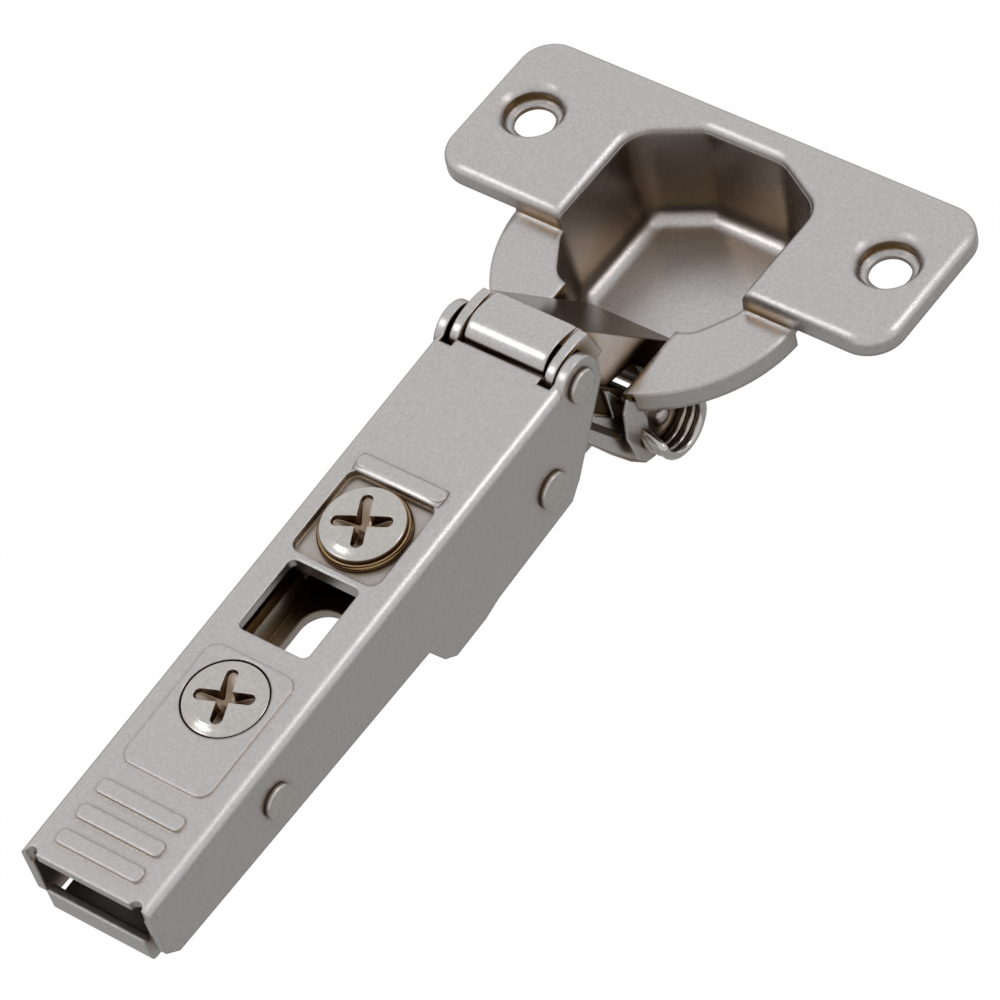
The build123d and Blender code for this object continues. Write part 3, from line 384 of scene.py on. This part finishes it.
def screw_rings(top, turn, body_profile):
    """A screw from its driven face down. The face is flat to SCREW_FACE_RADIUS and falls HEAD_SLOPE
    to the rounded rim. A cross is pressed in by (a + b (1 - r / R)^c) * clip(inside / wall, 0, 1),
    where inside is the distance within the cross."""
    radius = np.concatenate([np.linspace(0, SCREW_FACE_RADIUS, 84), [SCREW_FACE_RADIUS + 0.1]])
    slope = np.array([[SCREW_FACE_RADIUS + 0.22, top - 0.12],
                      [SCREW_HEAD_RADIUS - 0.42, top - HEAD_SLOPE + 0.08]])
    rim = corner_arc((SCREW_HEAD_RADIUS - 0.2, top - HEAD_SLOPE - 0.16), 0.2, 75, 0)
    face = np.stack([radius, np.where(radius > SCREW_FACE_RADIUS, top - 0.05, top)], axis=-1)
    rings = turned(np.vstack([face, slope, rim, body_profile]), 400)
    turn_cos, turn_sin = math.cos(math.radians(turn)), math.sin(math.radians(turn))
    along = rings[..., 0] * turn_cos + rings[..., 1] * turn_sin
    across = rings[..., 1] * turn_cos - rings[..., 0] * turn_sin
    straight = CROSS_LENGTH / 2 - CROSS_WIDTH / 2
    arm_one = CROSS_WIDTH / 2 - np.hypot(np.maximum(abs(along) - straight, 0), across)
    arm_two = CROSS_WIDTH / 2 - np.hypot(np.maximum(abs(across) - straight, 0), along)
    middle = (CROSS_MIDDLE - abs(along) - abs(across)) / DIAGONAL
    inside = np.maximum(np.maximum(arm_one, arm_two), middle)
    reach = np.clip(np.hypot(along, across) / (CROSS_LENGTH / 2), 0, 1)
    depth = CROSS_END_DEPTH + CROSS_FALL * (1 - reach) ** CROSS_FALL_POWER
    share = np.clip(inside / CROSS_WALL, 0, 1)
    pressed = np.where(np.arange(len(rings))[:, None] < len(radius), depth * share, 0)
    rings[..., 2] -= pressed
    return rings


def side_screw():
    """The front screw: head, threaded shank, and the neck and foot that hold it in the seat."""
    root = np.arange(THREAD_TOP, THREAD_END, -THREAD_PITCH)
    thread = np.stack([
        np.stack([np.full_like(root, THREAD_CORE), root], axis=-1),
        np.stack([np.full_like(root, THREAD_CREST), root - THREAD_PITCH / 2], axis=-1)], axis=1)
    below = [(SCREW_HEAD_RADIUS, 0.14), (THREAD_CREST, 0.12), (THREAD_CREST, -0.6)]
    profile = np.vstack([below, thread.reshape(-1, 2), SIDE_SCREW_FOOT])
    rings = screw_rings(SIDE_SCREW_TOP, SIDE_CROSS_TURN, profile)
    rings[..., 0] += SIDE_SCREW_X
    piece("front_screw", from_arm(rings), SCREW_PLATED, "side_screw", ["side_adjusting_screw"])


def depth_screw():
    """The rear screw: head and shank, over the off-centre cam that moves the seat."""
    rings = screw_rings(DEPTH_SCREW_TOP, DEPTH_CROSS_TURN, DEPTH_SCREW_SHANK)
    rings[..., 0] += DEPTH_SCREW_X
    piece("rear_screw", from_arm(rings), SCREW_PLATED, "depth_screw", ["depth_adjusting_screw"])
    cam = turned(np.array(CAM_PROFILE)) + np.array([DEPTH_SCREW_X, CAM_OFFSET, 0.0])
    piece("rear_screw_cam", from_arm(cam), SCREW_PLATED, "depth_screw")


def side_screw_bush():
    """The brown ring under the front screw's head, pressed into the pocket."""
    edge = corner_arc(BUSH_EDGE, BUSH_EDGE_RADIUS, 90, 0)
    rings = turned(np.vstack([BUSH_BORE, edge, BUSH_FLANK]), 120)
    rings[..., 0] += SIDE_SCREW_X
    piece("screw_bush", from_arm(rings), BUSH_BROWN, "arm", ["side_screw_bush"], loop_u=True)


def riveted_pin(name, pivot, radius, head, node):
    """A pin through both walls of the arm, with a flat, faintly dished head at both ends."""
    dish = [(0.0, PIN_HEAD_FACE - 0.06), (head * 0.55, PIN_HEAD_FACE - 0.05),
            (head * 0.72, PIN_HEAD_FACE)]
    rim = corner_arc((head - 0.25, PIN_HEAD_FACE - 0.25), 0.25, 90, 0)
    neck = [(head, ARM_HALF_WIDTH), (radius, ARM_HALF_WIDTH - 0.02)]
    half = np.vstack([dish, rim, neck])
    far = half[::-1] * np.array([1, -1])
    place = from_arm(np.array([pivot[0], 0.0, pivot[1]]))
    rings = along_y(turned(np.vstack([half, far]), 64), place[0], place[2])
    piece(name, rings, PIN_STEEL, "arm", [node])


def spring_pin():
    """The inner link's pin in the cup, flush at the far side and domed inside the spring at the
    near one, and the washer between the spring and the cheek."""
    dome = corner_arc((0.0, 0.0), 1.0, -90, 0, 10) * np.array(PIN_DOME_SIZE)
    rings = turned(np.vstack([dome + np.array(PIN_DOME_BASE), PIN_SHAFT]), 48)[:, ::-1]
    piece("spring_pin", along_y(rings, *INNER_CUP_PIVOT), PIN_STEEL, "cup", ["inner_link_cup_pin"])
    seat = turned(np.array(WASHER_PROFILE), 72)[:, ::-1]
    piece("spring_washer", along_y(seat, *INNER_CUP_PIVOT), WASHER, "cup", loop_u=True)


def wire_sweep(path):
    """Wire round a path: point + size * (out cos a + side sin a), where out and side are square to
    the path and size falls to nothing at both ends."""
    heading = np.gradient(path, axis=0)
    heading /= np.linalg.norm(heading, axis=1, keepdims=True)
    out = np.cross(heading, WIRE_LEAN)
    out /= np.linalg.norm(out, axis=1, keepdims=True)
    side = np.cross(heading, out)
    size = np.full((len(path), 1), SPRING_WIRE / 2)
    size[0] = size[-1] = 0.0
    size[1] = size[-2] = SPRING_WIRE * 0.45
    around = np.linspace(0, 2 * math.pi, 16, endpoint=False)
    spread = (np.cos(around)[None, :, None] * out[:, None]
              + np.sin(around)[None, :, None] * side[:, None])
    return path[:, None] + size[:, None] * spread


def closing_coil():
    """The closing spring: loops under its pin, x = r cos t and z = r sin t over COIL_ARC degrees,
    each with a leg into the cheek at its start and a leg up under the wing at its end."""
    t = np.radians(np.linspace(*COIL_ARC, 60))
    leg = np.linspace(0, 1, 8)[:, None]
    inward = np.array(LEG_IN_CHEEK)
    for number, near in enumerate(SPRING_LOOPS):
        loop = np.stack([SPRING_RADIUS * np.cos(t), near + 0 * t, SPRING_RADIUS * np.sin(t)],
                        axis=-1)
        upward = np.array([LEG_UNDER_WING[0], near, LEG_UNDER_WING[1]])
        path = np.vstack([(inward * (1 - leg) + loop[0] * leg)[:-1], loop,
                          (loop[-1] * (1 - leg) + upward * leg)[1:]])
        for _ in range(3):
            middle = (path[:-2] + 2 * path[1:-1] + path[2:]) / 4
            path = np.vstack([path[:1], middle, path[-1:]])
        path = path + np.array([INNER_CUP_PIVOT[0], 0, INNER_CUP_PIVOT[1]])
        piece(f"closing_coil_{number + 1}", wire_sweep(path), WIRE, "cup", ["closing_spring"])


def smooth_path(points, passes=3):
    """Corners cut off a path of points (Chaikin): each span gives its points at 1/4 and 3/4."""
    path = np.asarray(points, float)
    for _ in range(passes):
        cut = np.stack([0.75 * path[:-1] + 0.25 * path[1:],
                        0.25 * path[:-1] + 0.75 * path[1:]], axis=1)
        path = np.vstack([path[:1], cut.reshape(-1, path.shape[1]), path[-1:]])
    return path


def rolled_strip(name, points, y_low, y_high, thick, finish, body, square=10.0):
    """Sheet rolled along a path of (x, z) in the arm's frame: its section is |u|^p + |v|^p = 1,
    half the width by half the thickness, with p = square, and both ends close in."""
    path = smooth_path(points)
    heading = np.gradient(path, axis=0)
    heading /= np.linalg.norm(heading, axis=1, keepdims=True)
    normal = np.stack([-heading[:, 1], heading[:, 0]], axis=-1)
    turn = np.linspace(0, 2 * math.pi, 64, endpoint=False)
    wide = np.sign(np.cos(turn)) * abs(np.cos(turn)) ** (2 / square) * (y_high - y_low) / 2
    high = np.sign(np.sin(turn)) * abs(np.sin(turn)) ** (2 / square) * thick / 2
    share = np.ones(len(path))
    share[0] = share[-1] = 0.0
    share[1] = share[-2] = 0.85
    rise = high[None, :, None] * share[:, None, None] * normal[:, None]
    flat = path[:, None] + rise - normal[:, None] * thick / 2
    y = (y_low + y_high) / 2 + wide[None, :] * np.maximum(share, 0.97)[:, None]
    rings = from_arm(np.stack([flat[..., 0], y, flat[..., 1]], axis=-1))
    return piece(name, rings, finish, body)


def flat_plate(name, outline, y_low, y_high, finish, body, bevel=0.06):
    """A plate with an outline of steps (x, z) from the cup's inner pin, between two Y faces."""
    steps = np.asarray(outline, float)
    m = len(steps)
    x, z = steps[:, 0] + INNER_CUP_PIVOT[0], steps[:, 1] + INNER_CUP_PIVOT[1]
    low = np.stack([x, np.full(m, y_low), z], axis=-1)
    high = np.stack([x, np.full(m, y_high), z], axis=-1)
    ids = np.arange(m)
    sides = np.stack([ids, np.roll(ids, -1), np.roll(ids, -1) + m, ids + m], axis=-1)
    faces = sides.tolist() + [ids[::-1].tolist(), (ids + m).tolist()]
    made = new_object(name, (np.vstack([low, high]) * MM).tolist(), faces, finish)
    soft = made.modifiers.new("soft_edges", "BEVEL")
    soft.width = bevel * MM
    soft.segments = 2
    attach(made, body)
    return made


def outer_link_top():
    """The outer link's rolled tongue over its web, and the curled strip round each eye."""
    x, z = FRONT_PIVOT
    tongue = [(x + a, z + b) for a, b in TONGUE_PATH]
    rolled_strip("link_tongue", tongue, -TONGUE_HALF_WIDTH, TONGUE_HALF_WIDTH, TONGUE_SHEET,
                 LINK_SATIN, "outer_link")
    curl = [(x + a, z + b) for a, b in EYE_PATH]
    for name, side in (("eye_strip_near", -1), ("eye_strip_far", 1)):
        low, high = sorted((side * EYE_STRIP[0], side * EYE_STRIP[1]))
        rolled_strip(name, curl, low, high, EYE_SHEET, LINK_SATIN, "outer_link",
                     square=EYE_SQUARE)


def near_side_plates():
    """The inner link's near side: the inside of its fold, a dark plate of painted shade, and the
    plate by the cup's pin with its pressed groove, also a dark plate of painted shade. The face of
    the cup's near cheek lies before them."""
    flat_plate("link_fold_inside", FOLD_INSIDE, *FOLD_INSIDE_FACES, SHADE_SHEET, "inner_link")
    flat_plate("link_side_plate", LINK_SIDE, *LINK_SIDE_FACES, LINK_SATIN, "inner_link")
    flat_plate("link_groove", LINK_GROOVE, *LINK_GROOVE_FACES, SHADE_SHEET, "inner_link",
               LINK_GROOVE_BEVEL)
    flat_plate("cheek_face", CHEEK_FACE, *CHEEK_FACE_FACES, LINK_SATIN, "cup")


def pocket_ridge():
    """The pressed ridge before the front screw's pocket: z = height * sin(t)^1.5 across its width,
    with the height fading as 1 - (y / half)^8 towards its ends."""
    y = np.linspace(-RIDGE_HALF_LENGTH, RIDGE_HALF_LENGTH, 60)
    t = np.linspace(0, 2 * math.pi, 48, endpoint=False)
    fade = 1 - (y / RIDGE_HALF_LENGTH) ** 8
    arc = np.where(np.sin(t) > 0, abs(np.sin(t)) ** 1.5 * RIDGE_HEIGHT,
                   -abs(np.sin(t)) * RIDGE_KEEL)
    height = arc[None, :] * fade[:, None] - RIDGE_SINK
    x = RIDGE_X + RIDGE_HALF_WIDTH * np.cos(t)
    points = np.stack([np.broadcast_to(x, height.shape),
                       np.broadcast_to(y[:, None], height.shape), height], axis=-1)
    piece("pocket_ridge", from_arm(points)[:, ::-1], PLATED, "arm")


side_screw()
depth_screw()
side_screw_bush()
riveted_pin("front_rivet", FRONT_PIVOT, 1.5, 1.9, "front_pin")
riveted_pin("second_rivet", SECOND_PIVOT, 1.2, 2.1, "second_pin")
riveted_pin("rear_rivet", REAR_PIVOT, 1.3, 1.9, "rear_pin")
spring_pin()
closing_coil()
outer_link_top()
near_side_plates()
pocket_ridge()


def seen_white(tree, lit, white, share=1.0):
    """Mixes in plain white by share for camera, glossy and transmission rays."""
    path = tree.nodes.new("ShaderNodeLightPath")
    seen = path.outputs["Is Camera Ray"]
    for kind in ("Is Glossy Ray", "Is Transmission Ray"):
        seen = arithmetic(tree, "MAXIMUM", seen, path.outputs[kind])
    mix = tree.nodes.new("ShaderNodeMixShader")
    tree.links.new(arithmetic(tree, "MULTIPLY", seen, share), mix.inputs[0])
    tree.links.new(lit, mix.inputs[1])
    tree.links.new(white, mix.inputs[2])
    return mix.outputs[0]


def surround():
    """The world: white where it is seen or mirrored, an even soft grey where it lights."""
    world = bpy.data.worlds.new("surround")
    bpy.context.scene.world = world
    world.use_nodes = True
    tree = world.node_tree
    soft = tree.nodes["Background"]
    soft.inputs["Color"].default_value = (0.75, 0.75, 0.76, 1)
    soft.inputs["Strength"].default_value = 0.8
    white = tree.nodes.new("ShaderNodeBackground")
    white.inputs["Color"].default_value = (1, 1, 1, 1)
    white.inputs["Strength"].default_value = 1.0
    mixed = seen_white(tree, soft.outputs[0], white.outputs[0])
    tree.links.new(mixed, tree.nodes["World Output"].inputs["Surface"])


def level_stage(name, half, height, material):
    """A level stage square of half * 2 at a height, in metres."""
    corners = [(-half, -half, height), (half, -half, height), (half, half, height),
               (-half, half, height)]
    quad = new_object(name, corners, [(0, 1, 2, 3)], material)
    return quad


def floor():
    """The pale floor, nearly white to the eye and with a faint shadow of the hinge."""
    material = bpy.data.materials.new("pale_floor")
    material.use_nodes = True
    tree = material.node_tree
    shader = tree.nodes["Principled BSDF"]
    shader.inputs["Base Color"].default_value = (0.86, 0.86, 0.86, 1)
    shader.inputs["Roughness"].default_value = 0.9
    glow = tree.nodes.new("ShaderNodeEmission")
    glow.inputs["Color"].default_value = (1, 1, 1, 1)
    glow.inputs["Strength"].default_value = FLOOR_GLOW
    mixed = seen_white(tree, shader.outputs[0], glow.outputs[0], FLOOR_WHITE)
    tree.links.new(mixed, tree.nodes["Material Output"].inputs["Surface"])
    level_stage("floor", FLOOR_HALF, FLOOR_HEIGHT, material)


def low_card():
    """A grey card over the floor that only the mirroring side walls see."""
    material = bpy.data.materials.new("low_card")
    material.use_nodes = True
    tree = material.node_tree
    tree.nodes.remove(tree.nodes["Principled BSDF"])
    glow = tree.nodes.new("ShaderNodeEmission")
    glow.inputs["Color"].default_value = (*LOW_CARD_TONE, 1)
    tree.links.new(glow.outputs[0], tree.nodes["Material Output"].inputs["Surface"])
    card = level_stage("low_card", LOW_CARD_HALF, LOW_CARD_HEIGHT, material)
    card.visible_camera = False
    card.visible_shadow = False
    card.visible_diffuse = False


def lamp(name, place, size, power):
    """A round soft lamp at a place from LAMP_TARGET, aimed at it."""
    target = Vector(LAMP_TARGET)
    light = bpy.data.lights.new(name, "AREA")
    light.shape = "DISK"
    light.size = size
    light.energy = power
    holder = bpy.data.objects.new(name, light)
    bpy.context.scene.collection.objects.link(holder)
    holder.location = target + Vector(place)
    holder.rotation_mode = "QUATERNION"
    holder.rotation_quaternion = (target - holder.location).to_track_quat("-Z", "Y")


def studio():
    """Floor, white surround, two soft lamps and the low card that darkens the side walls."""
    surround()
    floor()
    low_card()
    for name, place, size, power in LAMPS:
        lamp(name, place, size, power)


def camera():
    """The long lens at the photograph's place and turn."""
    data = bpy.data.cameras.new("camera")
    data.lens = FOCAL_LENGTH
    data.sensor_width = SENSOR
    data.clip_start = 0.05
    data.clip_end = 20
    holder = bpy.data.objects.new("camera", data)
    bpy.context.scene.collection.objects.link(holder)
    right, down, forward = Vector(VIEW_RIGHT), Vector(VIEW_DOWN), Vector(VIEW_FORWARD)
    turn = Matrix((right, -down, -forward)).transposed()
    holder.matrix_world = Matrix.Translation(Vector(CAMERA_PLACE)) @ turn.to_4x4()
    bpy.context.scene.camera = holder


studio()
camera()
bpy.context.scene.view_settings.view_transform = "Standard"
